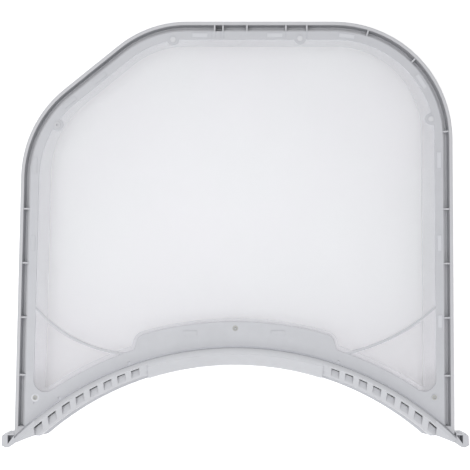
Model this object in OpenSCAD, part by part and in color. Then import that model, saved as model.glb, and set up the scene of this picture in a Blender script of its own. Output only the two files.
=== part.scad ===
// Dryer lint filter: a rigid moulded frame round a fine mesh, with a raised handle band along a concave arc.
// It lies on the plane z = 0. The origin is under the middle of its bounding box. +X runs along the handle to
// the right, +Y away from the handle, and +Z up to the side that carries the land, the crest and the windows.
// On the rim a place is given by its inset, measured square inwards from the outer edge.

/* [Outline] */
// Distance from the middle to the top edge
top_reach = 181.1; // [172:0.1:190]
// Distance from the middle to the foot of the left side
foot_left = 187.7; // [182:0.1:192]
// Distance from the middle to the foot of the right side
foot_right = 186.3; // [182:0.1:192]
// Lean of the left side inwards, in degrees
lean_left = 1.46; // [0:0.02:3]
// Lean of the right side inwards, in degrees
lean_right = 0.36; // [0:0.02:3]
// Angle between the slanted side and the top side, in degrees
slant_angle = 38.8; // [30:0.2:48]
// Distance from the middle to the slanted side
slant_reach = 187.5; // [182:0.1:196]
// Outer radius of the fillet between the right side and the top
fillet_right = 100.2; // [70:0.2:120]
// Outer radius of the fillet between the top and the slanted side
fillet_high = 92.7; // [60:0.2:110]
// Outer radius of the fillet between the slanted side and the left side
fillet_low = 98.1; // [60:0.2:110]

/* [Rim section] */
// Height of the outer wall
rim_h = 24; // [20:0.1:28]
// Thickness of the outer wall
wall_t = 2.8; // [2:0.1:3.6]
// Clear width of the channel between the two walls
channel_w = 5.4; // [4:0.1:7]
// Thickness of the inner wall
inner_wall_t = 2; // [1.4:0.1:3]
// Depth of the channel below the top of the outer wall
channel_depth = 10.5; // [8:0.1:12]
// Thickness of the channel floor
web_t = 2; // [1.4:0.1:3]
// Thickness of the ribs across the channel
cross_rib_t = 1.4; // [0.8:0.1:2]
// Width of the shelf in the channel along the inner wall
shelf_w = 2.2; // [1:0.1:3]
// Drop of that shelf below the top of the outer wall
shelf_drop = 5; // [3:0.1:8]
// Depth of the well in the channel's floor between the first two top ribs
well_depth = 4; // [2:0.5:8]
// Distance of the channels' end walls above the frame's feet
channel_end_rise = 3.2; // [3:0.1:4]
// Distance of the cross ribs' tops below the top of the outer wall
cross_rib_drop = 1.2; // [0.4:0.1:3]

/* [Mesh and its seat] */
// Thickness of the ledge under the mesh
ledge_t = 2.4; // [2:0.1:3]
// Distance of the ledge's inner edge from the outer edge, on the right side
ledge_right = 26; // [20:0.5:27]
// The same on the top side
ledge_top = 20.7; // [18:0.1:24]
// The same on the slanted side
ledge_slant = 20.5; // [18:0.1:24]
// The same on the left side
ledge_left = 25; // [20:0.5:27]
// Distance that the ledge shows beyond the land along the arc
ledge_lower = 4; // [1:0.1:6]
// Thickness of the mesh sheet
mesh_t = 0.6; // [0.4:0.1:1]
// Gap between the edge of the mesh and the walls round it
mesh_gap = 0.4; // [0.2:0.1:0.8]

/* [Retainer] */
// Width of the land round the opening
land_w = 7; // [6:0.1:8.5]
// Thickness of the land, which clamps the mesh on the ledge
land_t = 0.8; // [0.7:0.1:2]
// Width of the lands along the arc
arc_land_w = 10.4; // [8:0.1:12]
// Radius of the rounded corner between a side land and an arc land
corner_fillet = 10; // [6:0.5:14]
// Length of a snap tongue's raised end on the land
snap_l = 13; // [9:0.5:15]
// Width of a snap tongue's raised end
snap_w = 3.4; // [2:0.1:4.5]
// Height of what is raised above the land
raised_h = 0.5; // [0.2:0.1:0.8]
// Width of the fine grooves across the land
line_w = 0.8; // [0.5:0.1:1.2]
// Depth of the fine grooves
line_h = 0.4; // [0.2:0.1:0.5]

/* [Stake pins] */
// Radius of a pin's round tab on the land
tab_r = 5; // [4.4:0.1:6]
// Radius of a stake pin
pin_r = 1.5; // [1:0.1:1.8]
// Radial clearance round a stake pin
pin_gap = 0.2; // [0.1:0.05:0.3]
// Radius of the flattened head of a stake pin
head_r = 2.4; // [2:0.1:3]
// Height of the flattened head
head_h = 0.7; // [0.4:0.1:1]
// Rise of the pocket's small pin above the plate
pin_rise = 0.4; // [0.2:0.1:0.8]
// Inset of the two pins on the top side
pin_inset_top = 14.4; // [14:0.1:16]
// Inset of the pins on the corners and at the feet
pin_inset = 16.6; // [15.6:0.1:17.5]
// Radius of the small pins near the feet
foot_pin_r = 1.2; // [0.9:0.1:1.5]
// Distance of the small pins outside the land along the arc
foot_pin_rise = 3.6; // [2:0.1:5]
// Radius of the flat dimpled heads of the small pins and of the pin on the left corner
ring_r = 2.9; // [2.2:0.1:3.3]
// Radius of the dimple in such a head
dimple_r = 0.9; // [0.5:0.1:1]
// Radius of the tabs round the small pins
foot_tab_r = 3.6; // [3:0.1:4.4]

/* [Arc] */
// Level along Y of the highest point of the frame's wall along the arc
arc_top = -94.8; // [-98:0.1:-90]
// Radius of the frame's wall along the arc
arc_r = 268.2; // [262:0.1:274]
// Thickness of the frame's wall along the arc
arc_wall_t = 2.2; // [1.4:0.1:3]
// Width of the groove between the land and the crest of the handle
groove_w = 1.2; // [1:0.1:3]
// Height of the groove's bottom at the feet
groove_z = 22.8; // [21:0.1:22.8]

/* [Handle plate] */
// Rise of the plate's highest point above the top of the arc
plate_rise = 20.7; // [14:0.1:24]
// Radius of the plate's curved edge
plate_r = 290; // [260:1:340]
// Half width of the plate where it meets the land along the arc
plate_half = 86.1; // [80:0.1:90]
// Angle of the plate's ends against Y, in degrees
end_angle = 14; // [4:0.5:20]
// Radius of the plate's round shoulders
plate_corner = 9; // [5:0.5:12]
// Inset of the pocket's wall from the edge of the plate
pocket_inset = 5; // [4:0.1:6]
// Thickness of the pocket's wall
pocket_wall_t = 2; // [1.4:0.1:3]
// Width of the ledge under the plate's edge
plate_ledge_w = 8; // [6:0.1:10]
// Distance of the two raised tongues below the plate's highest point
tongue_drop = 9.5; // [7:0.1:11]
// Length of the raised tongues
tongue_l = 11.9; // [8:0.1:14]
// Half width of the finger opening behind the grip
finger_half = 65; // [56:0.5:70]
// Height of the finger opening
finger_h = 17; // [14:0.1:18]

/* [Corner ribs] */
// Thickness of the curved ribs over and under the mesh
rib_t = 1.6; // [1:0.1:2.4]
// Level along Y at which the ribs start on the sides
rib_y = -60; // [-66:0.5:-54]
// Distance from the middle at which the ribs end beside the plate
rib_end_x = 92.5; // [90:0.5:98]
// Radius of the left rib
rib_r_left = 117; // [105:1:180]
// Radius of the right rib
rib_r_right = 171; // [120:1:200]
// Drop of the ribs over the mesh below the top of the land
rib_drop = 0.2; // [0.2:0.1:0.8]
// Height of the rib under the mesh
under_rib_h = 8; // [4:0.1:12]

/* [Handle band] */
// Height of the crest, the highest level of the part
crest_z = 28; // [26:0.1:32]
// Width of the flat crest
crest_w = 3.3; // [2.2:0.1:4]
// Drop of the sloping band below the crest, at 45 degrees
band_drop = 10; // [9:0.1:11]
// Distance that the skirt runs out from the band's foot to the lip
skirt_run = 1.6; // [0.6:0.1:2.4]
// Width of the lip
lip_w = 2.1; // [1.5:0.1:3.5]
// Height of the lip
lip_h = 3; // [2:0.1:4]
// Thickness of the sloping band
band_t = 2.4; // [1.8:0.1:2.6]
// Thickness of the band's back wall and skirt
rail_wall_t = 2; // [1.4:0.1:2.4]
// Thickness of the flange that the frame and the land clamp
flange_t = 2; // [1.4:0.1:3]

/* [Windows] */
// Number of windows on each side of the grip
window_count = 8; // [5:1:8]
// Distance between neighbouring windows along X
window_pitch = 11.8; // [9:0.1:11.8]
// Distance of the first window from the middle
window_start = 85; // [82:0.1:85]
// Width of a window
window_w = 6.8; // [4:0.1:7.6]
// Height of a window's sill
window_sill = 20; // [19.2:0.1:21]
// Distance that a window's sill runs in behind the sloping band
sill_run = 2.2; // [0.6:0.1:3]
// Height of a window's opening
window_h = 6.8; // [5:0.1:7]

/* [Grip] */
// Half width of the plain grip
grip_half = 74.5; // [70:0.5:77]
// Distance that the grip stands proud of the band, along the radius
grip_proud = 2.1; // [1:0.1:3]
// Drop of the grip's top below the crest
grip_drop = 0.2; // [0.2:0.1:0.6]
// Distance that the grip's foot runs out below the slope
grip_run = 2.9; // [2.4:0.1:4]

/* [Ears] */
// Distance of the ear tips from the middle
ear_x = 198.9; // [196:0.1:200]
// Distance of the frame's feet outside its wall along the arc, along the radius
ear_rise = 1.56; // [1.4:0.02:2.8]
// Distance of the ears' upper edge below the frame's feet
ear_set = 2.8; // [1.5:0.1:3.2]
// Length of the ears along Y
ear_l = 12.2; // [11.5:0.1:15]
// Height of the ears, from their own underside
ear_h = 12; // [8:0.5:20]
// Distance of the ears' tops below the crest
ear_drop = 3.8; // [0.2:0.1:5]
// Gap between an ear and the frame's outer wall
ear_gap = 0.1; // [0.1:0.05:0.5]
// Thickness of the wall round the pocket in an ear
ear_wall_t = 5.3; // [3:0.1:6]
// Thickness of the wall between the pocket and the ear's upper edge
pocket_drop = 1.6; // [1.4:0.1:3]
// Length of the pocket along Y
pocket_l = 7.4; // [5:0.1:10]
// Width of the pocket along X
pocket_w = 5.5; // [3:0.1:6]
// Thickness of the floor of the pocket in an ear
ear_floor_t = 1.6; // [1:0.1:3]

/* [Hidden] */
$fa = 1;
$fs = 0.3;
arc_steps = 18;
shoulder_steps = 9;
// How far a shape runs into the one that it joins
bond = 0.5;
tall = 3 * crest_z;

// Places along the rim of what repeats
left_rib_y = [22.2, -23.9, -70.2, -119.3];
right_rib_y = [21.8, -24.6, -70.9, -120.2];
top_rib_x = [-17.6, -10.5, 9.9, 43.1, 60.9];
corner_rib_a = [4.2, 45.1, 72.8];
land_line_x = [-19.8, -16.6, -12.1, -9.6, 43.1, 60.9];
left_snap_y = [59.2, -7.1];
right_snap_y = [63.4, -7.1, -75.1];
top_snap_x = [-30, 33.7];
slant_snap_x = [-122.7, -148.2];
corner_snap_a = [33.8, 83.4];
top_pin_x = 55;
top_pin_a = 98.5;
right_pin_a = 12;
left_pin_a = 145.5;
tongue_x = [-38.5, 36.3];
notch_x = [-149, -89.9, 87.3];
notch_w = 2;
notch_l = 4.4;

// Corners of the band's left end, as [distance from the outer edge along X, distance outside the band's foot]
end_corners = [[26.5, -6], [24.5, -3.5], [20.6, -1.8], [20, 0.3], [16.3, 3.3], [8.6, 6.8], [1.6, 9.8]];

// Insets of the rim section
channel_d = wall_t;
inner_wall_d = channel_d + channel_w;
ledge_d = inner_wall_d + inner_wall_t;
land_end_d = inner_wall_d + land_w;
land_mid_d = inner_wall_d + land_w / 2;
rib_root_d = land_end_d - rib_t;
end_reach = 3 * channel_w;
ledge_insets = [ledge_right, ledge_top, ledge_slant, ledge_left];

// Heights
land_z = rim_h - land_t;
seat_z = land_z - mesh_t;
web_z = rim_h - channel_depth;
flange_z = land_z - flange_t;
band_z = crest_z - band_drop;

// Radii about the axis of the arc
arc_wall_out = arc_r + arc_wall_t;
arc_land_out = arc_r + arc_land_w;
arc_ledge_out = arc_land_out + ledge_lower;
mesh_arc_r = arc_wall_out + mesh_gap;
rail_back = arc_r - groove_w;
crest_front = rail_back - crest_w;
band_foot = crest_front - band_drop;
skirt_foot = band_foot - skirt_run;
lip_r = skirt_foot - lip_w;
flange_out = arc_wall_out - pin_gap;
cavity_back = rail_back - rail_wall_t;
band_line = crest_front - crest_z + band_t * sqrt(2);

// The axis of the arc, and a point of a circle about it, given its distance from the middle
arc_drop = arc_r - arc_top;
function arc_y(r, x) = sqrt(r * r - x * x) - arc_drop;
function on_arc(r, x) = [x, arc_y(r, x)];
foot_y = arc_y(arc_wall_out + ear_rise, foot_left);
foot_pin_y = arc_y(arc_land_out + foot_pin_rise, foot_left - pin_inset);
plate_y = arc_top + plate_rise;

// The sides as [direction of the outward normal, distance from the middle], and the fillets between them
function side_through(a, p) = [a, p.x * cos(a) + p.y * sin(a)];
sides = [
    side_through(lean_right, [foot_right, foot_y]),
    [90, top_reach],
    [90 + slant_angle, slant_reach],
    side_through(180 - lean_left, [-foot_left, foot_y])
];
fillets = [fillet_right, fillet_high, fillet_low];
last_side = len(sides) - 1;

// Point where two such lines cross
function meet(a, b) = [
    a[1] * sin(b[0]) - b[1] * sin(a[0]),
    b[1] * cos(a[0]) - a[1] * cos(b[0])
] / sin(b[0] - a[0]);

// The same line moved inwards
function moved_in(line, d) = [line[0], line[1] - d];

// Centre of the fillet that follows side i
function centre(i) = meet(moved_in(sides[i], fillets[i]), moved_in(sides[i + 1], fillets[i]));

// Distance along side i of a point
function along(i, p) = p.y * cos(sides[i][0]) - p.x * sin(sides[i][0]);
function side_start(i) = i == 0 ? -arc_drop : along(i, centre(i - 1));
function side_end(i) = i == last_side ? arc_drop : along(i, centre(i));

// Distance along side i at which its outer edge passes a value of y, or of x
function at_y(i, y) = (y - sides[i][1] * sin(sides[i][0])) / cos(sides[i][0]);
function at_x(i, x) = (sides[i][1] * cos(sides[i][0]) - x) / sin(sides[i][0]);

// Point on side i, and an arc of points
function side_point(i, t, d) =
    let (a = sides[i][0], c = sides[i][1] - d) [c * cos(a) - t * sin(a), c * sin(a) + t * cos(a)];
function arc_points(c, r, a, b, n = arc_steps) =
    [for (i = [0:n]) let (t = a + (b - a) * i / n) c + r * [cos(t), sin(t)]];

// The line of the rim at an inset, from the right foot to the left foot, both below the arc
function rim_points(d) = concat(
    [side_point(0, side_start(0), d)],
    [for (i = [0:last_side - 1]) each arc_points(centre(i), fillets[i] - d, sides[i][0], sides[i + 1][0])],
    [side_point(last_side, side_end(last_side), d)]
);
function reversed(pts) = [for (i = [len(pts) - 1:-1:0]) pts[i]];

// The same line at an inset of its own on each side
function own_centre(i, ds) =
    let (r = fillets[i] - ds[i]) meet(moved_in(sides[i], ds[i] + r), moved_in(sides[i + 1], ds[i + 1] + r));
function uneven_points(ds) = concat(
    [side_point(0, side_start(0), ds[0])],
    [for (i = [0:last_side - 1])
        each arc_points(own_centre(i, ds), fillets[i] - ds[i], sides[i][0], sides[i + 1][0])],
    [side_point(last_side, side_end(last_side), ds[last_side])]
);

// A child drawn in [inset, along, height], at a distance along side i or at an angle on a corner
module on_side(i, t) {
    rotate([0, 0, sides[i][0]]) translate([sides[i][1], t, 0]) mirror([1, 0, 0]) children();
}

module on_corner(i, a) {
    translate(centre(i)) rotate([0, 0, a]) translate([fillets[i], 0, 0]) mirror([1, 0, 0]) children();
}

// The strip of the rim between two insets
module rim_band(d0, d1) {
    polygon(concat(rim_points(d0), reversed(rim_points(d1))));
}

// A child placed about the axis of the arc, and a section [radius, height] carried along the arc
module at_arc() {
    translate([0, -arc_drop, 0]) children();
}

module arc_sweep(right_a, left_a) {
    at_arc() rotate([0, 0, 90 - right_a]) rotate_extrude(angle = right_a + left_a) children();
}

// The strip along the arc between two radii, inside the rim at an inset
module arc_band(r0, r1, d) {
    intersection() {
        difference() {
            translate([0, -arc_drop]) circle(r = r1);
            translate([0, -arc_drop]) circle(r = r0);
        }
        polygon(rim_points(d));
    }
}

module both_sides() {
    children();
    mirror([1, 0, 0]) children();
}

// Everything inside a radius about the axis of the arc, between two heights
module arc_core(r, z0 = -tall, z1 = tall) {
    at_arc() translate([0, 0, z0]) cylinder(r = r, h = z1 - z0);
}

// Outline of the handle plate, moved inwards: straight ends, round shoulders and a curved edge
plate_axis = [0, plate_y - plate_r];
plate_end = side_through(end_angle, on_arc(arc_land_out, plate_half));
shoulder = let (n = [cos(end_angle), sin(end_angle)], h = plate_end[1] - plate_corner - plate_axis * n)
    plate_axis + h * n + sqrt(pow(plate_r - plate_corner, 2) - h * h) * [-n.y, n.x];
shoulder_turn = atan2(shoulder.y - plate_axis.y, shoulder.x);
function plate_points(d) = concat(
    [meet([-90, arc_drop], moved_in(plate_end, d))],
    arc_points(shoulder, plate_corner - d, end_angle, shoulder_turn, shoulder_steps),
    arc_points(plate_axis, plate_r - d, shoulder_turn, 180 - shoulder_turn),
    arc_points([-shoulder.x, shoulder.y], plate_corner - d, 180 - shoulder_turn, 180 - end_angle,
        shoulder_steps),
    [meet(moved_in([180 - end_angle, plate_end[1]], d), [270, arc_drop])]
);
module plate_outline(d) {
    polygon(plate_points(d));
}

// The strip along the plate's edge between two insets
module plate_band(d0, d1) {
    difference() {
        plate_outline(d0);
        plate_outline(d1);
    }
}

// A flat shape given a height
module slab(z0, z1) {
    translate([0, 0, z0]) linear_extrude(z1 - z0) children();
}

// Places of the stake pins, each with its tab's radius and its pin's radius
module at_big_pins() {
    on_side(1, at_x(1, top_pin_x)) translate([pin_inset_top, 0, 0]) children();
    on_corner(1, top_pin_a) translate([pin_inset_top, 0, 0]) children();
    on_corner(0, right_pin_a) translate([pin_inset, 0, 0]) children();
}

module at_ring_pin() {
    on_corner(2, left_pin_a) translate([pin_inset, 0, 0]) children();
}

module at_foot_pins() {
    for (i = [0, last_side]) on_side(i, at_y(i, foot_pin_y)) translate([pin_inset, 0, 0]) children();
}

// Places of the channel's cross ribs
module at_cross_ribs() {
    for (y = right_rib_y) on_side(0, at_y(0, y)) children();
    for (y = left_rib_y) on_side(last_side, at_y(last_side, y)) children();
    for (x = top_rib_x) on_side(1, at_x(1, x)) children();
    for (a = corner_rib_a) on_corner(0, a) children();
}

// Places of the snap tongues
module at_snaps() {
    for (y = right_snap_y) on_side(0, at_y(0, y)) children();
    for (y = left_snap_y) on_side(last_side, at_y(last_side, y)) children();
    for (x = top_snap_x) on_side(1, at_x(1, x)) children();
    for (x = slant_snap_x) on_side(2, at_x(2, x)) children();
    for (a = corner_snap_a) on_corner(0, a) children();
}

// Centre of a rib's curve through two points, above them
function rib_centre(a, b, r) =
    let (m = (a + b) / 2, v = b - a, h = sqrt(r * r - v * v / 4) / norm(v)) m + h * [-v.y, v.x];

// One curved rib from the side land down to the end of the plate, drawn for the right side
module curved_rib(start, r, z0, z1) {
    end = on_arc(arc_land_out - rib_t, rib_end_x);
    c = rib_centre(end, start, r);
    a = atan2(end.y - c.y, end.x - c.x);
    b = atan2(start.y - c.y, start.x - c.x);
    translate(c) rotate([0, 0, a]) rotate_extrude(angle = b - a)
        translate([r - rib_t / 2, z0]) square([rib_t, z1 - z0]);
}

module curved_ribs(d, z0, z1) {
    curved_rib(side_point(0, at_y(0, rib_y), d), rib_r_right, z0, z1);
    left_start = side_point(last_side, at_y(last_side, rib_y), d);
    mirror([1, 0, 0]) curved_rib([-left_start.x, left_start.y], rib_r_left, z0, z1);
}

module pin(r, top) {
    translate([0, 0, seat_z - bond]) cylinder(r = r, h = top - seat_z + bond);
}

module outer_frame() {
    color([0.79, 0.8, 0.82]) difference() {
        union() {
            rim_walls();
            arc_wall();
            ledges();
            pocket_wall();
            cross_ribs();
            channel_well(channel_w + 2 * bond, cross_rib_t, 0);
            channel_ends();
            curved_ribs(ledge_d, seat_z - under_rib_h, seat_z - pin_gap);
            frame_pins();
        }
        arc_core(arc_r);
        finger_cut(arc_r, arc_wall_out);
        channel_well(channel_w, 0, tall);
    }
}

// The outer wall, the inner wall and the channel floor between them
module rim_walls() {
    slab(0, rim_h) rim_band(0, wall_t);
    slab(web_z - web_t, web_z) rim_band(wall_t - bond, inner_wall_d + bond);
    slab(0, land_z) rim_band(inner_wall_d, ledge_d);
    slab(web_z - bond, rim_h - shelf_drop) rim_band(inner_wall_d - shelf_w, inner_wall_d + bond);
}

// The wall along the arc, taller across the channels, which end square before it
module arc_wall() {
    difference() {
        union() {
            slab(0, flange_z) arc_band(arc_r - groove_w / 2, arc_wall_out, wall_t / 2);
            slab(0, rim_h) intersection() {
                arc_band(arc_r - groove_w / 2, arc_wall_out + bond, wall_t / 2);
                rim_band(wall_t / 2, inner_wall_d);
            }
        }
        slab(web_z - bond / 2, tall)
            channel_strip(inner_wall_d + inner_wall_t / 2, foot_y + channel_end_rise - bond, end_reach);
    }
}

// The ledge that the mesh lies on, along the rim, the arc and the pocket, wider under the pins
module ledges() {
    difference() {
        slab(seat_z - ledge_t, seat_z) difference() {
            union() {
                polygon(concat(rim_points(ledge_d - bond), reversed(uneven_points(ledge_insets))));
                arc_band(arc_wall_out - bond, arc_ledge_out, ledge_d - bond);
                plate_outline(pocket_inset - plate_ledge_w);
                at_big_pins() circle(r = tab_r);
                at_ring_pin() circle(r = tab_r);
                at_foot_pins() circle(r = foot_tab_r);
            }
            plate_outline(pocket_inset + bond);
        }
        arc_core(arc_wall_out + pin_gap, flange_z, tall);
    }
}

// Wall of the finger pocket behind the grip, lower where the handle's flange passes over it
module pocket_wall() {
    slab(0, flange_z) plate_band(pocket_inset, pocket_inset + pocket_wall_t);
    difference() {
        union() {
            slab(flange_z - bond, land_z) plate_band(pocket_inset, pocket_inset + pocket_wall_t);
            at_pocket_pin() translate([0, 0, land_z - bond])
                cylinder(r = pocket_wall_t / 2, h = land_t + pin_rise + bond);
        }
        arc_core(arc_wall_out + pin_gap);
    }
}

module at_pocket_pin() {
    translate([0, plate_y - pocket_inset - pocket_wall_t / 2, 0]) children();
}

module cross_ribs() {
    reach = wall_t / 2;
    at_cross_ribs() translate([reach, -cross_rib_t / 2, web_z - bond])
        cube([channel_w + reach + inner_wall_t / 2, cross_rib_t, land_z - web_z - bond]);
    at_cross_ribs() translate([reach, -cross_rib_t / 2, web_z - bond])
        cube([channel_w + reach - pin_gap, cross_rib_t, rim_h - cross_rib_drop - web_z + bond]);
}

// The well in the channel's floor between the first two top ribs: its inside, or the box of walls round that
module channel_well(w, t, drop) {
    l = top_rib_x[1] - top_rib_x[0] - cross_rib_t + 2 * t;
    z = web_z - well_depth - (t > 0 ? web_t : 0);
    on_side(1, at_x(1, (top_rib_x[0] + top_rib_x[1]) / 2))
        translate([channel_d + (channel_w - w) / 2, -l / 2, z]) cube([w, l, t > 0 ? web_z - bond - z : drop]);
}

// Walls that end the channels before the arc, and the low roofs behind them
module channel_ends() {
    y0 = foot_y + channel_end_rise - cross_rib_t;
    slab(web_z - bond, land_z - 2 * bond) channel_strip(inner_wall_d + inner_wall_t / 2, y0, cross_rib_t);
    slab(web_z - bond, rim_h - rib_drop) channel_strip(inner_wall_d - pin_gap, y0, cross_rib_t);
    slab(land_z - pin_gap - web_t, land_z - pin_gap)
        channel_strip(inner_wall_d + inner_wall_t / 2, y0 - end_reach, end_reach + bond);
}

module channel_strip(d, y0, l) {
    intersection() {
        rim_band(wall_t / 2, d);
        translate([-ear_x, y0]) square([2 * ear_x, l]);
    }
}

// Pins that stand on the ledge, with flattened heads, three of them dimpled
module frame_pins() {
    at_big_pins() {
        pin(pin_r, rim_h + head_h / 2);
        translate([0, 0, rim_h]) cylinder(r = head_r, h = head_h);
    }
    at_ring_pin() dimpled_pin(pin_r);
    at_foot_pins() dimpled_pin(foot_pin_r);
}

module dimpled_pin(r) {
    difference() {
        union() {
            pin(r, rim_h + raised_h / 2);
            translate([0, 0, rim_h]) cylinder(r = ring_r, h = raised_h);
        }
        translate([0, 0, rim_h - bond]) cylinder(r = dimple_r, h = tall);
    }
}

// Angle at which the handle's flange stops before the inner wall of a side
function flange_end(foot) = asin((foot - ledge_d - mesh_gap) / flange_out);

// The way in to the finger pocket, cut through a wall between two radii
module finger_cut(r0, r1) {
    a = asin(finger_half / r1);
    arc_sweep(a, a) translate([r0 - mesh_gap, -tall]) square([r1 - r0 + 2 * mesh_gap, tall + finger_h]);
}

module mesh_screen() {
    hole_r = pin_r + 2 * pin_gap;
    color([0.94, 0.94, 0.95]) difference() {
        slab(seat_z, land_z) difference() {
            polygon(rim_points(ledge_d + mesh_gap));
            translate([0, -arc_drop]) circle(r = mesh_arc_r);
            plate_outline(pocket_inset - mesh_gap);
        }
        at_big_pins() cylinder(r = hole_r, h = tall);
        at_ring_pin() cylinder(r = hole_r, h = tall);
        at_foot_pins() cylinder(r = hole_r, h = tall);
    }
}

module retainer_frame() {
    color([0.77, 0.78, 0.81]) difference() {
        union() {
            slab(land_z, rim_h) land_outline();
            curved_ribs(rib_root_d, land_z + pin_gap / 2, rim_h - rib_drop);
            raised_marks();
        }
        pin_holes();
        land_notches();
        land_grooves();
    }
}

// The land: strips along the rim and the arc with rounded corners, the handle plate and the pins' tabs
module land_outline() {
    difference() {
        union() {
            rim_band(inner_wall_d, land_end_d);
            arc_band(arc_r - groove_w / 2, arc_land_out, land_mid_d);
            plate_outline(0);
            for (i = [0, last_side]) land_corner(i);
            at_big_pins() circle(r = tab_r);
            at_ring_pin() circle(r = tab_r);
            at_foot_pins() circle(r = foot_tab_r);
        }
        translate([0, -arc_drop]) circle(r = arc_r);
    }
}

// Rounded inner corner between a side land and an arc land
module land_corner(i) {
    sink = 0.1;
    away = corner_fillet - sink;
    reach = sides[i][1] - land_end_d - away;
    turn = i == 0 ? 1 : -1;
    t = turn * sqrt(pow(arc_land_out + away, 2) - pow(reach + sin(sides[i][0]) * arc_drop, 2))
        - cos(sides[i][0]) * arc_drop;
    c = side_point(i, t, land_end_d + away);
    toward = (c + [0, arc_drop]) / norm(c + [0, arc_drop]);
    difference() {
        polygon([
            c,
            side_point(i, t, land_end_d - bond),
            side_point(i, t - turn * 2 * corner_fillet, land_end_d - bond),
            c - toward * (corner_fillet + bond)
        ]);
        translate(c) circle(r = corner_fillet);
    }
}

module pin_holes() {
    at_big_pins() cylinder(r = pin_r + pin_gap, h = tall);
    at_ring_pin() cylinder(r = pin_r + pin_gap, h = tall);
    at_foot_pins() cylinder(r = foot_pin_r + pin_gap, h = tall);
    at_pocket_pin() cylinder(r = pocket_wall_t / 2 + pin_gap, h = tall);
}

// Ends of the snap tongues on the land and the plate
module raised_marks() {
    top = rim_h - bond;
    at_snaps() translate([land_mid_d - snap_w / 2, -snap_l / 2, top]) cube([snap_w, snap_l, raised_h + bond]);
    for (x = tongue_x) translate([x - tongue_l / 2, plate_y - tongue_drop - snap_w / 2, top])
        cube([tongue_l, snap_w, raised_h + bond]);
}

// Fine grooves across the top land, beside the ribs
module land_grooves() {
    for (x = land_line_x) on_side(1, at_x(1, x)) translate([inner_wall_d - bond, -line_w / 2, rim_h - line_h])
        cube([land_w - bond, line_w, tall]);
}

// Notches in the land at the edge of the groove
module land_notches() {
    for (x = notch_x) at_arc() rotate([0, 0, -asin(x / arc_r)])
        translate([-notch_w / 2, arc_r - notch_l / 2, land_z - bond]) cube([notch_w, notch_l, tall]);
}

// Section of the hollow band: back wall, crest, slope, skirt and lip
module rail_section() {
    lean = skirt_run / (band_z - lip_h);
    knee_z = (skirt_foot + rail_wall_t - lip_h * lean - band_line) / (1 - lean);
    polygon([
        [lip_r, 0], [skirt_foot + rail_wall_t - lip_h * lean, 0], [band_line + knee_z, knee_z],
        [cavity_back, cavity_back - band_line], [cavity_back, 0], [rail_back, 0],
        [rail_back, crest_z], [crest_front, crest_z], [band_foot, band_z], [skirt_foot, lip_h], [lip_r, lip_h]
    ]);
}

// Section of the plate that closes an end of the hollow, with its edges inside the walls
module end_section() {
    mid = rail_wall_t / 2;
    polygon([
        [skirt_foot + mid, bond], [rail_back - mid, bond], [rail_back - mid, crest_z - mid],
        [crest_front + mid / 2, crest_z - mid], [band_foot + mid, band_z - mid / 2]
    ]);
}

// Section of what the grip adds in front of the band
module grip_section() {
    slope_r = crest_front - grip_proud;
    foot_z = band_z - grip_drop;
    mid = rail_wall_t / 2;
    polygon([
        [slope_r - band_drop - grip_run, 0], [skirt_foot + mid, 0], [band_foot + mid, foot_z],
        [crest_front + mid, crest_z - grip_drop], [slope_r, crest_z - grip_drop], [slope_r - band_drop, foot_z]
    ]);
}

module arc_handle() {
    end_a = asin(foot_left / rail_back);
    step_a = asin((foot_left + bond) / rail_back);
    color([0.81, 0.82, 0.84]) difference() {
        union() {
            difference() {
                union() {
                    arc_sweep(end_a, end_a) rail_section();
                    window_sills(end_a);
                    end_walls(end_a);
                }
                both_sides() end_cut();
            }
            arc_sweep(flange_end(foot_right), flange_end(foot_left))
                translate([rail_back - bond, flange_z]) square([flange_out - rail_back + bond, flange_t]);
            arc_sweep(step_a, step_a)
                translate([rail_back - bond, groove_z - flange_t])
                    square([groove_w - ear_gap + bond, flange_t]);
            grip();
            both_sides() ear();
        }
        windows();
        finger_cut(cavity_back, rail_back);
        both_sides() ear_cuts();
    }
}

// Ledges behind the sloping band that make the windows' sills deeper
module window_sills(end_a) {
    start_a = asin((window_start - window_pitch / 2) / cavity_back);
    base = window_sill - rail_wall_t;
    mid = rail_wall_t / 2;
    back = band_line + window_sill + sill_run;
    top = window_sill + bond;
    both_sides() arc_sweep(end_a, -start_a)
        polygon([[band_line + base - mid, base], [back, base], [back, top], [band_line + top - mid, top]]);
}

// The line that the band's left end is cut along
end_line = [for (c = end_corners) on_arc(band_foot + c[1], c[0] - foot_left)];

module end_cut() {
    last = end_line[len(end_line) - 1];
    slab(-bond, tall) polygon(concat(
        [[end_line[0].x, -arc_drop]], end_line,
        [[last.x - 2 * ear_l, last.y], [last.x - 2 * ear_l, -arc_drop]]
    ));
}

// Walls that close the hollow along that line
module end_walls(end_a) {
    intersection() {
        arc_sweep(end_a, end_a) end_section();
        both_sides() slab(-bond, tall)
            polygon(concat(
                [for (p = end_line) p - [0, bond]],
                reversed([for (p = end_line) p + [0, rail_wall_t]])
            ));
    }
}

module grip() {
    a = asin(grip_half / band_foot) + 2;
    intersection() {
        arc_sweep(a, a) grip_section();
        translate([-grip_half, -arc_drop, 0]) cube([2 * grip_half, arc_drop, tall]);
    }
}

// Windows cut straight along Y through the sloping band, and not into the back wall
module windows() {
    intersection() {
        for (k = [0:window_count - 1]) both_sides()
            translate([window_start + k * window_pitch - window_w / 2, -arc_drop, window_sill])
                cube([window_w, arc_drop, window_h]);
        arc_core(cavity_back - bond / 2, 0, tall);
    }
}

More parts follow.
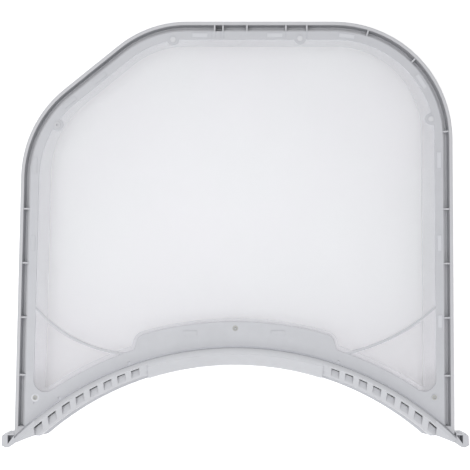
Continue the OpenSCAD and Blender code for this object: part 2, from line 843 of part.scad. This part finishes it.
// Outline of a left ear from its upper edge to its neck beside the crest, and of its pocket
ear_top_in = 5.1;
ear_chamfer = 2;
ear_toe = [3.4, 2];
ear_toe_w = 3.3;
ear_top = foot_y - ear_set;
ear_low = ear_top - ear_l;
ear_z = crest_z - ear_drop;
ear_points = [
    [-foot_left + wall_t, ear_top], [-ear_x + ear_top_in, ear_top], [-ear_x + bond, ear_top - ear_chamfer],
    [-ear_x, ear_low + ear_toe.y], [-ear_x + ear_toe.x, ear_low],
    [-ear_x + ear_toe.x + ear_toe_w, ear_low + bond],
    end_line[len(end_line) - 1], on_arc(rail_back, 2 * wall_t - foot_left)
];
ear_pocket = [
    [-ear_x + ear_wall_t, ear_top - pocket_drop], [-ear_x + ear_wall_t, ear_top - pocket_drop - pocket_l],
    [-ear_x + ear_wall_t + pocket_w, ear_top - pocket_drop]
];

// What an ear keeps clear of: the frame's outline outside the handle's back
module ear_keep_out() {
    difference() {
        union() {
            polygon(rim_points(-ear_gap));
            mirror([1, 0]) polygon(rim_points(-ear_gap));
        }
        translate([0, -arc_drop]) circle(r = rail_back - bond / 2);
    }
}

module ear() {
    slab(ear_z - ear_h, ear_z) difference() {
        polygon(ear_points);
        ear_keep_out();
    }
}

module ear_cuts() {
    slab(ear_z - ear_h + ear_floor_t, tall) polygon(ear_pocket);
}

outer_frame();
mesh_screen();
retainer_frame();
arc_handle();
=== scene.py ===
"""Looks, stage and camera of a dryer lint filter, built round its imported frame."""

import math

import bmesh
import bpy
from bpy.props import FloatProperty, FloatVectorProperty, PointerProperty
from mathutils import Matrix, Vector, kdtree


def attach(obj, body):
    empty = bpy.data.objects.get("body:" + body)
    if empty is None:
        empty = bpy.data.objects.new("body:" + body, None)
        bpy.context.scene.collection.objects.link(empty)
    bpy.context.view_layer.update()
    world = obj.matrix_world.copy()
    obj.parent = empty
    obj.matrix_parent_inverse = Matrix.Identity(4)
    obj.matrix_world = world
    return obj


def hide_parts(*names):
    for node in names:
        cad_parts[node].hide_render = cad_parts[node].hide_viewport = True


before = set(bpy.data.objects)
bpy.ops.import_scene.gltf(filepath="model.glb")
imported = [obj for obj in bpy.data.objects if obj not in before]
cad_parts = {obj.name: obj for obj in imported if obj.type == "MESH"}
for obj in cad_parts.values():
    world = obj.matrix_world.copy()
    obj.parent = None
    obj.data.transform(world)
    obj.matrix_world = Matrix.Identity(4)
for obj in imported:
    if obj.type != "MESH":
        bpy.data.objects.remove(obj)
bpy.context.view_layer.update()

bl_info = {
    "name": "Dryer lint filter",
    "version": (1, 0, 0),
    "blender": (4, 5, 0),
    "location": "3D View > Sidebar > Lint filter",
    "description": "Finishes a dryer lint filter's mouldings, weaves its mesh and sets its stage",
    "category": "Object",
}

# Lengths and places are in metres. +X is right along the handle, +Y away from it and +Z up.

# Height of a unit normal that parts faces that look up or down from upright ones
UPWARD = 0.5

# Plastic: sizes of its slow drift of colour, of its specks and of the soft flow in its skin
DRIFT_SIZE = 0.045
SPECK_SIZE = 0.007
FLOW_SIZE = 0.02
# Depth and strength of the grain and of the flow, and how far each changes the roughness
GRAIN_DEPTH = 0.00002
GRAIN_STRENGTH = 0.35
GRAIN_ROUGHNESS = 0.1
FLOW_DEPTH = 0.0003
FLOW_STRENGTH = 0.4
FLOW_ROUGHNESS = 0.16
PLASTIC_IOR = 1.49
# Rays that round an edge and that find a sheltered place
EDGE_RAYS = 4
SHELTER_RAYS = 8

# Just above the top face of the land, and a height that only the heads of the large pins pass
LAND_TOP = 0.02401
BIG_HEAD = 0.0244
# Where the painted highlights begin: right of the slanted side, and beyond the handle plate
HIGHLIGHT_X = -0.06
HIGHLIGHT_Y = -0.079
# Small pins with painted shade on their heads: x and y, and the radii of the clear middle, the
# dark head and its lighter rim of painted highlight
SHADED_PINS = (
    (-0.1702, -0.1386, 0, 0.0021, 0.0034),
    (0.1693, -0.1384, 0, 0.0021, 0.0021),
    (0, -0.0796, 0.0008, 0.0024, 0.0024),
)
# Height above which the painted shade shows, and how much lighter its rim's painted highlight is
PIN_SHADE_LOW = 0.0235
PIN_HIGHLIGHT_TONE = 1.25

# Heights between which the sills of the windows lie
SILL_LOW = 0.0195
SILL_HIGH = 0.0225
# Distance over which a wall shelters a sill, and how dark the painted shade makes the plastic
SHELTER_REACH = 0.006
SILL_SHADE_TONE = 0.7
# Y of the axis of the handle's arc, and the radii about it between which the crest's shade sets in
ARC_AXIS = -0.363
CREST_FRONT = 0.2628
CREST_BACK = 0.2672
# Radius beyond which the groove behind the crest lies, and the heights above which the groove and
# the crest lie
GROOVE_START = 0.2669
GROOVE_LOW = 0.0228
CREST_LOW = 0.0277
# Distance from the middle plane at which the shades of the crest and the groove stop, before the
# ears
CREST_END = 0.17

# Mesh: distance under which two corners of a CAD mesh are one, and depth of the woven sheet under
# the top of the CAD sheet
MERGE = 1e-6
RIDE = 0.00002
# Length over which the sheet's waves die out, and their turn per metre and their start along x
# and y, in radians
FADE = 0.03
WAVE_X = (61, 1.3)
WAVE_Y = (47, 0.4)
# Sizes of the drift of colour and of the fibres, and the drift's share against theirs
CLOTH_DRIFT = 0.05
FIBRE_SIZE = 0.00012
CLOTH_DRIFT_SHARE = 0.6
# How far the two colours of the threads are made darker and lighter
THREAD_SPREAD = 0.02
# Relief of the weave and of its fibres, with its depth and strength
WEAVE_RELIEF = 0.5
FIBRE_RELIEF = 0.15
THREAD_DEPTH = 0.00012
THREAD_STRENGTH = 0.6
THREAD_ROUGHNESS = 0.5
FIBRE_ROUGHNESS = 0.2
# Share of the second colour in the grey of the painted shade on the mesh
SHADE_MIX = 0.3
# Places along y between which that painted shade sets in toward the handle
HANDLE_SHADE_START = -0.03
HANDLE_SHADE_FULL = -0.12
# The same for the two corners by the handle, with the distances from the middle plane
CORNER_START = -0.106
CORNER_FULL = -0.13
SIDE_START = 0.15
SIDE_FULL = 0.165

# Half width of the floor, its gap under the part, and how far out its paper turns into plain white
FLOOR_HALF = 2.5
FLOOR_GAP = 0.0002
FLOOR_NEAR = 0.4
FLOOR_FAR = 0.9
# Tone of the paper, with the size and strength of its flecks
PAPER_TONE = 0.9
FLECK_SIZE = 0.03
FLECK_STRENGTH = 0.03
# Width and place of each lamp, and where the camera stands over the part
KEY_SIZE = 0.9
KEY_PLACE = (-0.16, 0, 1.2)
FRONT_SIZE = 0.8
FRONT_PLACE = (0.1, -1.15, 0.55)
VIEW_X = -0.00026
VIEW_Y = -0.00035
WHITE = (1, 1, 1, 1)


# ---------------------------------------------------------------- settings


class LINTFILTER_PG_plastic(bpy.types.PropertyGroup):
    """Colour and finish of the moulded plastic."""

    frame_colour: FloatVectorProperty(
        name="Frame colour",
        description="Colour of the outer frame",
        subtype="COLOR",
        default=(0.565, 0.57, 0.595),
    )
    land_colour: FloatVectorProperty(
        name="Land colour",
        description="Colour of the land and the handle plate",
        subtype="COLOR",
        default=(0.55, 0.558, 0.59),
    )
    handle_colour: FloatVectorProperty(
        name="Handle colour",
        description="Colour of the handle band and its ears",
        subtype="COLOR",
        default=(0.565, 0.573, 0.603),
    )
    # Painted light on the thin land's upright faces
    edge_light_tone: FloatProperty(
        name="Thin edge",
        description="How much lighter the thin land's edge is, where light comes through it",
        default=1.6,
        min=1,
        max=1.8,
    )
    # Painted highlight on the marks and large pins that stand above the land
    highlight_tone: FloatProperty(
        name="Rubbed marks",
        description="How much lighter the marks and large pins above the land are",
        default=1.15,
        min=1,
        max=1.5,
    )
    # Painted shade on the small pins' heads
    pin_shade_colour: FloatVectorProperty(
        name="Stain",
        description="Colour of the small pins' heads, which heat has darkened",
        subtype="COLOR",
        default=(0.42, 0.422, 0.405),
    )
    # Painted shade on the back edge of the handle's crest
    crest_shade: FloatProperty(
        name="Crest",
        description="Tone of the handle's crest at its back edge",
        default=0.79,
        min=0.5,
        max=1,
    )
    # Painted light in the narrow groove behind the crest
    groove_light: FloatProperty(
        name="Groove",
        description="Tone of the narrow groove behind the crest",
        default=1.12,
        min=1,
        max=1.7,
    )
    # Painted shade on the sheltered places of the sills of the handle's windows
    sill_shade: FloatProperty(
        name="Dust on sills",
        description="Share by which dust darkens the sills of the handle's windows",
        default=1,
        min=0,
        max=1,
        subtype="FACTOR",
    )
    roughness: FloatProperty(
        name="Roughness",
        description="Roughness of the moulded skin",
        default=0.42,
        min=0.1,
        max=0.9,
        subtype="FACTOR",
    )
    mottle: FloatProperty(
        name="Mottle",
        description="Share by which the colour drifts over the moulding",
        default=0.08,
        min=0,
        max=0.2,
        subtype="FACTOR",
    )
    grain: FloatProperty(
        name="Grain",
        description="Size of the fine grain of the skin",
        default=0.0005,
        min=0.0001,
        max=0.002,
        unit="LENGTH",
    )
    edge: FloatProperty(
        name="Edge radius",
        description="Radius of the moulded edges",
        default=0.0004,
        min=0,
        max=0.001,
        unit="LENGTH",
    )
    land_edge: FloatProperty(
        name="Land's edge radius",
        description="Radius of the soft edge of the thin land",
        default=0.0002,
        min=0,
        max=0.001,
        unit="LENGTH",
    )


class LINTFILTER_PG_mesh(bpy.types.PropertyGroup):
    """Size and colour of the woven mesh."""

    thread_colour: FloatVectorProperty(
        name="Thread colour",
        description="Colour of the mesh's threads",
        subtype="COLOR",
        default=(0.935, 0.91, 0.965),
    )
    second_colour: FloatVectorProperty(
        name="Second colour",
        description="Colour that the threads drift to",
        subtype="COLOR",
        default=(0.9, 0.93, 0.945),
    )
    pitch: FloatProperty(
        name="Pitch",
        description="Distance between neighbouring threads",
        default=0.0006,
        min=0.0003,
        max=0.002,
        unit="LENGTH",
    )
    open_share: FloatProperty(
        name="Open width",
        description="Share of the pitch that a hole takes",
        default=0.64,
        min=0.1,
        max=0.8,
        subtype="FACTOR",
    )
    thickness: FloatProperty(
        name="Thickness",
        description="Thickness of the woven sheet",
        default=0.0002,
        min=0.0001,
        max=0.0006,
        unit="LENGTH",
    )
    # Painted shade: share by which the mesh is greyed along the handle
    lint: FloatProperty(
        name="Lint",
        description="Share by which old lint greys the mesh along the handle",
        default=0.01,
        min=0,
        max=0.3,
        subtype="FACTOR",
    )
    # Painted shade: share by which the mesh is greyed in the corners by the handle
    corner_shade: FloatProperty(
        name="Lint in corners",
        description="Share by which old lint greys the mesh in the corners by the handle",
        default=0.24,
        min=0,
        max=0.5,
        subtype="FACTOR",
    )
    slack: FloatProperty(
        name="Slack",
        description="Height of the faint waves of the stretched mesh",
        default=0.0003,
        min=0,
        max=0.001,
        unit="LENGTH",
    )
    cell: FloatProperty(
        name="Cell",
        description="Spacing of the sheet's grid",
        default=0.008,
        min=0.004,
        max=0.02,
        unit="LENGTH",
    )


class LINTFILTER_PG_stage(bpy.types.PropertyGroup):
    """Camera, lamps and floor."""

    camera_height: FloatProperty(
        name="Camera height",
        description="Height of the camera above the plane that the part lies on",
        default=0.824,
        unit="LENGTH",
    )
    field: FloatProperty(
        name="Field of view",
        description="Width of the camera's view",
        default=math.radians(28.05),
        subtype="ANGLE",
    )
    ambient: FloatProperty(
        name="Ambient",
        description="Strength of the light from all round",
        default=0.46,
        min=0,
    )
    key_power: FloatProperty(
        name="Key lamp",
        description="Power of the large lamp above, in watts",
        default=6.8,
        min=0,
    )
    front_power: FloatProperty(
        name="Front lamp",
        description="Power of the low lamp on the handle's side, in watts",
        default=4,
        min=0,
    )
    paper: FloatProperty(
        name="Paper",
        description="Brightness of the floor as the camera sees it",
        default=1.66,
        min=0.5,
        max=2,
    )


# ---------------------------------------------------------------- shader expressions


class Value:
    """A socket that can stand in a Python expression."""

    def __init__(self, shader, socket):
        self.shader = shader
        self.socket = socket

    def _with(self, operation, *values):
        sockets = dict(enumerate(values))
        return self.shader.node("ShaderNodeMath", {"operation": operation}, sockets)

    def __add__(self, other):
        return self._with("ADD", self, other)

    __radd__ = __add__

    def __sub__(self, other):
        return self._with("SUBTRACT", self, other)

    def __rsub__(self, other):
        return self._with("SUBTRACT", other, self)

    def __mul__(self, other):
        return self._with("MULTIPLY", self, other)

    __rmul__ = __mul__

    def __truediv__(self, other):
        return self._with("DIVIDE", self, other)

    def __gt__(self, other):
        return self._with("GREATER_THAN", self, other)

    def __lt__(self, other):
        return self._with("LESS_THAN", self, other)

    def high(self, other):
        return self._with("MAXIMUM", self, other)

    def sine(self):
        return self._with("SINE", self)

    def share(self):
        return self._with("FRACT", self)

    def size(self):
        return self._with("ABSOLUTE", self)


class Shader:
    """The node tree of a material or of the world."""

    def __init__(self, owner):
        owner.use_nodes = True
        self.tree = owner.node_tree
        self.tree.nodes.clear()

    def node(self, kind, settings=None, sockets=None, output=0):
        """Adds a node: its settings first, then the values or links of its sockets."""
        made = self.tree.nodes.new(kind)
        for key, value in (settings or {}).items():
            setattr(made, key, value)
        for key, value in (sockets or {}).items():
            socket = made.inputs[key]
            if isinstance(value, Value):
                self.tree.links.new(value.socket, socket)
            else:
                socket.default_value = value
        return Value(self, made.outputs[output]) if made.outputs else made

    def place(self):
        """The point of the surface in metres."""
        return self.node("ShaderNodeTexCoord", output="Object")

    def axes(self, vector):
        """The three numbers of a vector."""
        split = self.node("ShaderNodeSeparateXYZ", {}, {"Vector": vector})
        outputs = split.socket.node.outputs
        return [Value(self, outputs[axis]) for axis in "XYZ"]

    def reach(self, vector):
        """Distance of a point from the origin."""
        return self.node("ShaderNodeVectorMath", {"operation": "LENGTH"}, {0: vector}, "Value")

    def slope(self):
        """Height of the surface's unit normal."""
        return self.axes(self.node("ShaderNodeNewGeometry", output="True Normal"))[2]

    def ease(self, value, start, end):
        """Rises smoothly from 0 to 1 while a value goes from its start to its end."""
        return self.node(
            "ShaderNodeMapRange",
            {"interpolation_type": "SMOOTHSTEP"},
            {"Value": value, "From Min": start, "From Max": end, "To Min": 0, "To Max": 1},
        )

    def noise(self, vector, size, detail):
        """Smooth noise from 0 to 1 with features of one size, in metres."""
        sockets = {"Vector": vector, "Scale": 1 / size, "Detail": detail}
        return self.node("ShaderNodeTexNoise", {}, sockets)

    def blend(self, factor, first, second):
        """Colours mixed by a factor."""
        sockets = {0: factor, 6: first, 7: second}
        return self.node("ShaderNodeMix", {"data_type": "RGBA"}, sockets, 2)

    def bump(self, height, distance, strength, normal=None):
        """Relief of a height, over a distance in metres, on a normal if one is given."""
        sockets = {"Height": height, "Distance": distance, "Strength": strength}
        if normal:
            sockets["Normal"] = normal
        return self.node("ShaderNodeBump", {}, sockets)

    def surface(self, shader):
        self.node("ShaderNodeOutputMaterial", {}, {"Surface": shader})


def tone(colour, factor):
    """A colour made lighter or darker, with full alpha."""
    return tuple(min(1, channel * factor) for channel in colour) + (1,)


# ---------------------------------------------------------------- materials


class Moulding:
    """Satin moulded plastic, whose mottled colour takes its marks one after another."""

    def __init__(self, name, colour, settings):
        self.colour = colour
        self.settings = settings
        self.material = bpy.data.materials.new(name)
        self.shader = Shader(self.material)
        self.place = self.shader.place()
        self.x, self.y, self.z = self.shader.axes(self.place)
        drift = self.shader.noise(self.place, DRIFT_SIZE, 3)
        specks = self.shader.noise(self.place, SPECK_SIZE, 3)
        self.shade = self.shader.blend(
            (drift + specks) * 0.5,
            tone(colour, 1 - settings.mottle),
            tone(colour, 1 + settings.mottle),
        )

    def mark(self, mask, colour, factor=1):
        """Puts a colour, made lighter or darker by a factor, where a mask is 1."""
        self.shade = self.shader.blend(mask, self.shade, tone(colour, factor))

    def paint_edge_light(self):
        """Paints light on the upright faces under the thin land's top, for light coming through
        it.
        """
        upright = self.shader.slope().size() < UPWARD
        self.mark(upright * (self.z < LAND_TOP), self.colour, self.settings.edge_light_tone)

    def paint_highlights(self, low):
        """Paints highlights on what stands above a height on the far side and the right of the
        rim.
        """
        highlighted = (self.x > HIGHLIGHT_X) * (self.y > HIGHLIGHT_Y) * (self.z > low)
        self.mark(highlighted, self.colour, self.settings.highlight_tone)

    def paint_pin_shade(self):
        """Paints shade on the small pins' heads, which heat pressed flat, inside a painted
        highlight.
        """
        raised = self.z > PIN_SHADE_LOW
        for pin_x, pin_y, middle, head, rim in SHADED_PINS:
            off_x, off_y = self.x - pin_x, self.y - pin_y
            away = off_x * off_x + off_y * off_y
            dark = (away > middle**2) * (away < head**2) * raised
            light = (away > head**2) * (away < rim**2) * raised
            self.mark(dark, self.settings.pin_shade_colour)
            self.mark(light, self.colour, PIN_HIGHLIGHT_TONE)

    def shade_sills(self):
        """Paints shade into the sheltered places on the sills of the windows."""
        on_sill = (self.z > SILL_LOW) * (self.z < SILL_HIGH)
        openness = self.shader.node(
            "ShaderNodeAmbientOcclusion", {"samples": SHELTER_RAYS}, {"Distance": SHELTER_REACH}, "AO"
        )
        sheltered = (1 - openness) * on_sill
        self.mark(sheltered * self.settings.sill_shade, self.colour, SILL_SHADE_TONE)

    def shade_crest(self):
        """Paints shade on the handle's crest toward its back and light into the groove behind it.
        """
        off_axis = self.y - ARC_AXIS
        around = self.x * self.x + off_axis * off_axis
        inside = self.x.size() < CREST_END
        toward_back = self.shader.ease(around, CREST_FRONT**2, CREST_BACK**2)
        on_crest = toward_back * (self.z > CREST_LOW) * inside
        self.mark(on_crest, self.colour, self.settings.crest_shade)
        between = (self.z > GROOVE_LOW) * (self.z < CREST_LOW)
        in_groove = (around > GROOVE_START**2) * between * inside
        self.mark(in_groove, self.colour, self.settings.groove_light)

    def finish(self, radius):
        """Adds the skin with its fine grain, soft flow and rounded edges."""
        shader = self.shader
        grain = shader.noise(self.place, self.settings.grain, 1)
        flow = shader.noise(self.place, FLOW_SIZE, 1)
        edge = shader.node("ShaderNodeBevel", {"samples": EDGE_RAYS}, {"Radius": radius})
        skin = shader.bump(grain, GRAIN_DEPTH, GRAIN_STRENGTH, edge)
        spread = (flow - 0.5) * FLOW_ROUGHNESS
        fine_spread = (grain - 0.5) * GRAIN_ROUGHNESS
        shader.surface(
            shader.node(
                "ShaderNodeBsdfPrincipled",
                {},
                {
                    "Base Color": self.shade,
                    "Roughness": self.settings.roughness + spread + fine_spread,
                    "IOR": PLASTIC_IOR,
                    "Normal": shader.bump(flow, FLOW_DEPTH, FLOW_STRENGTH, skin),
                },
            )
        )
        return self.material


def woven(name, settings):
    """Plain weave with open holes, its threads passing over and under each other."""
    material = bpy.data.materials.new(name)
    shader = Shader(material)
    place = shader.place()
    x, y, _ = shader.axes(place)
    columns, rows = x / settings.pitch, y / settings.pitch
    half_hole = settings.open_share / 2
    warp = (columns.share() - 0.5).size() > half_hole
    weft = (rows.share() - 0.5).size() > half_hole
    weave = (columns * math.pi).sine() * (rows * math.pi).sine()
    fibre = shader.noise(place, FIBRE_SIZE, 1)
    drift = shader.noise(place, CLOTH_DRIFT, 2)

    first, second = settings.thread_colour, settings.second_colour
    unshaded = shader.blend(
        drift * CLOTH_DRIFT_SHARE + fibre * (1 - CLOTH_DRIFT_SHARE),
        tone(first, 1 - THREAD_SPREAD),
        tone(second, 1 + THREAD_SPREAD),
    )
    # Painted shade: the threads turn greyer toward the handle, and most in the corners by it
    shade_grey = [a * (1 - SHADE_MIX) + b * SHADE_MIX for a, b in zip(first, second)]
    near_handle = shader.ease(y, HANDLE_SHADE_START, HANDLE_SHADE_FULL)
    near_side = shader.ease(x.size(), SIDE_START, SIDE_FULL)
    in_corner = shader.ease(y, CORNER_START, CORNER_FULL) * near_side
    shade = shader.blend(near_handle, unshaded, tone(shade_grey, 1 - settings.lint))
    shade = shader.blend(in_corner, shade, tone(shade_grey, 1 - settings.corner_shade))

    relief = weave * WEAVE_RELIEF + fibre * FIBRE_RELIEF
    shader.surface(
        shader.node(
            "ShaderNodeBsdfPrincipled",
            {},
            {
                "Base Color": shade,
                "Roughness": THREAD_ROUGHNESS + (fibre - 0.5) * FIBRE_ROUGHNESS,
                "Alpha": warp.high(weft),
                "Normal": shader.bump(relief, THREAD_DEPTH, THREAD_STRENGTH),
            },
        )
    )
    return material


# ---------------------------------------------------------------- pieces


def dress(node, material):
    """Gives a CAD node one material in all its slots."""
    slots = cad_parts[node].material_slots
    if not slots:
        raise RuntimeError(f"{node} has no material slot")
    for slot in slots:
        slot.material = material


def add_object(name, bm, material):
    """Makes an object of a bmesh, at the origin."""
    mesh = bpy.data.meshes.new(name)
    bm.to_mesh(mesh)
    bm.free()
    mesh.materials.append(material)
    made = bpy.data.objects.new(name, mesh)
    bpy.context.scene.collection.objects.link(made)
    return made


def extent(bm, axis):
    """Lowest and highest place of a bmesh along an axis."""
    values = [vert.co[axis] for vert in bm.verts]
    return min(values), max(values)


def cut_grid(bm, cell):
    """Cuts a flat sheet along a square grid."""
    for axis in (0, 1):
        low, high = extent(bm, axis)
        across = Vector((1 - axis, axis, 0))
        for step in range(1, int((high - low) / cell) + 1):
            bmesh.ops.bisect_plane(
                bm,
                geom=bm.verts[:] + bm.edges[:] + bm.faces[:],
                plane_co=across * (low + step * cell),
                plane_no=across,
            )


def ripple(place, wave):
    """Height of a wave of height 1 at a place, from its turn per metre and its start."""
    turn, start = wave
    return math.sin(place * turn + start)


def lift_waves(bm, height):
    """Lifts a flat sheet into faint waves that die out at its clamped edge."""
    rim = [vert for vert in bm.verts if vert.is_boundary]
    tree = kdtree.KDTree(len(rim))
    for index, vert in enumerate(rim):
        tree.insert(vert.co, index)
    tree.balance()
    for vert in bm.verts:
        share = min(1, tree.find(vert.co)[2] / FADE)
        fade = share * share * (3 - 2 * share)
        vert.co.z += height * fade * ripple(vert.co.x, WAVE_X) * ripple(vert.co.y, WAVE_Y)


class LINTFILTER_OT_mouldings(bpy.types.Operator):
    """Give the three plastic mouldings their satin finish"""

    bl_idname = "lintfilter.mouldings"
    bl_label = "Finish the mouldings"
    bl_options = {"REGISTER", "UNDO"}

    def execute(self, context):
        settings = context.scene.lintfilter_plastic

        outer_frame = Moulding("frame_plastic", settings.frame_colour, settings)
        outer_frame.paint_highlights(BIG_HEAD)
        outer_frame.paint_pin_shade()
        dress("outer_frame", outer_frame.finish(settings.edge))

        land = Moulding("land_plastic", settings.land_colour, settings)
        land.paint_edge_light()
        land.paint_highlights(LAND_TOP)
        land.paint_pin_shade()
        dress("retainer_frame", land.finish(settings.land_edge))

        handle = Moulding("handle_plastic", settings.handle_colour, settings)
        handle.shade_sills()
        handle.shade_crest()
        dress("arc_handle", handle.finish(settings.edge))
        return {"FINISHED"}


class LINTFILTER_OT_mesh(bpy.types.Operator):
    """Weave the mesh sheet that the two frames clamp"""

    bl_idname = "lintfilter.mesh"
    bl_label = "Weave the mesh"
    bl_options = {"REGISTER", "UNDO"}

    def execute(self, context):
        settings = context.scene.lintfilter_mesh
        bm = bmesh.new()
        bm.from_mesh(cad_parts["mesh_screen"].data)
        bmesh.ops.remove_doubles(bm, verts=bm.verts[:], dist=MERGE)
        others = [face for face in bm.faces if face.normal.z < UPWARD]
        bmesh.ops.delete(bm, geom=others, context="FACES")
        if not bm.faces:
            raise RuntimeError("the mesh node has no upper face")
        flat_area = sum(face.calc_area() for face in bm.faces)
        top = extent(bm, 2)[1]
        cut_grid(bm, settings.cell)
        for vert in bm.verts:
            vert.co.z = top - RIDE
        lift_waves(bm, settings.slack)
        sheet = add_object("mesh_sheet", bm, woven("mesh_cloth", settings))
        wall = sheet.modifiers.new("Thickness", "SOLIDIFY")
        wall.thickness = settings.thickness
        wall.offset = -1
        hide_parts("mesh_screen")
        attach(sheet, "root")
        return {"FINISHED"}


# ---------------------------------------------------------------- stage


def seen(shader):
    """One for rays that show the backdrop itself: from the camera, a mirror or a clear piece."""
    path = shader.node("ShaderNodeLightPath").socket.node.outputs
    names = ("Is Camera Ray", "Is Glossy Ray", "Is Transmission Ray")
    camera, mirror, clear = (Value(shader, path[name]) for name in names)
    return camera.high(mirror).high(clear)


def sky(settings):
    """White where it is seen, and a plain light from all round."""
    world = bpy.data.worlds.new("studio")
    shader = Shader(world)
    visible = seen(shader)
    strength = visible + (1 - visible) * settings.ambient
    light = shader.node("ShaderNodeBackground", {}, {"Color": WHITE, "Strength": strength})
    shader.node("ShaderNodeOutputWorld", {}, {"Surface": light})
    return world


def paper_floor(settings):
    """Pale paper that keeps the shadow near the part and is plain white further out."""
    material = bpy.data.materials.new("floor_paper")
    shader = Shader(material)
    place = shader.place()
    level = PAPER_TONE + shader.noise(place, FLECK_SIZE, 2) * FLECK_STRENGTH
    visible = seen(shader)
    shade = level + visible * (settings.paper - level)
    far = shader.ease(shader.reach(place), FLOOR_NEAR, FLOOR_FAR)
    near_floor = shader.node("ShaderNodeBsdfDiffuse", {}, {"Color": shade})
    white = shader.node("ShaderNodeEmission", {}, {"Color": WHITE, "Strength": 1})
    shader.surface(
        shader.node("ShaderNodeMixShader", {}, {0: visible * far, 1: near_floor, 2: white})
    )
    return material


def add_lamp(name, size, power, spot):
    """Hangs a square lamp that looks at the origin."""
    lamp = bpy.data.lights.new(name, "AREA")
    lamp.size = size
    lamp.energy = power
    made = bpy.data.objects.new(name, lamp)
    made.location = spot
    made.rotation_euler = (-Vector(spot)).to_track_quat("-Z", "Y").to_euler()
    bpy.context.scene.collection.objects.link(made)


class LINTFILTER_OT_stage(bpy.types.Operator):
    """Set the floor, the lamps and the camera"""

    bl_idname = "lintfilter.stage"
    bl_label = "Set the stage"
    bl_options = {"REGISTER", "UNDO"}

    def execute(self, context):
        settings = context.scene.lintfilter_stage
        scene = context.scene
        scene.view_settings.view_transform = "Standard"
        scene.world = sky(settings)

        bm = bmesh.new()
        bmesh.ops.create_grid(bm, x_segments=1, y_segments=1, size=FLOOR_HALF)
        bmesh.ops.translate(bm, verts=bm.verts[:], vec=(0, 0, -FLOOR_GAP))
        floor = add_object("floor", bm, paper_floor(settings))

        add_lamp("key", KEY_SIZE, settings.key_power, KEY_PLACE)
        add_lamp("front", FRONT_SIZE, settings.front_power, FRONT_PLACE)

        camera = bpy.data.cameras.new("camera")
        camera.sensor_fit = "HORIZONTAL"
        camera.angle = settings.field
        eye = bpy.data.objects.new("camera", camera)
        eye.location = (VIEW_X, VIEW_Y, settings.camera_height)
        scene.collection.objects.link(eye)
        scene.camera = eye
        return {"FINISHED"}


class LINTFILTER_PT_panel(bpy.types.Panel):
    """Lists the operators and their settings."""

    bl_idname = "LINTFILTER_PT_panel"
    bl_label = "Lint filter"
    bl_space_type = "VIEW_3D"
    bl_region_type = "UI"
    bl_category = "Lint filter"

    def draw(self, context):
        for group, operator in STEPS:
            box = self.layout.box()
            box.operator(operator.bl_idname)
            settings = getattr(context.scene, group)
            for name in settings.bl_rna.properties.keys():
                if name not in ("rna_type", "name"):
                    box.prop(settings, name)


GROUPS = {
    "lintfilter_plastic": LINTFILTER_PG_plastic,
    "lintfilter_mesh": LINTFILTER_PG_mesh,
    "lintfilter_stage": LINTFILTER_PG_stage,
}
STEPS = (
    ("lintfilter_stage", LINTFILTER_OT_stage),
    ("lintfilter_plastic", LINTFILTER_OT_mouldings),
    ("lintfilter_mesh", LINTFILTER_OT_mesh),
)
OPERATORS = tuple(operator for _, operator in STEPS)
CLASSES = tuple(GROUPS.values()) + OPERATORS + (LINTFILTER_PT_panel,)


def register():
    for cls in CLASSES:
        bpy.utils.register_class(cls)
    for name, group in GROUPS.items():
        setattr(bpy.types.Scene, name, PointerProperty(type=group))


def unregister():
    for name in GROUPS:
        delattr(bpy.types.Scene, name)
    for cls in reversed(CLASSES):
        bpy.utils.unregister_class(cls)


def main():
    register()
    bpy.ops.lintfilter.stage()
    bpy.ops.lintfilter.mouldings()
    bpy.ops.lintfilter.mesh()


if __name__ == "__main__":
    main()
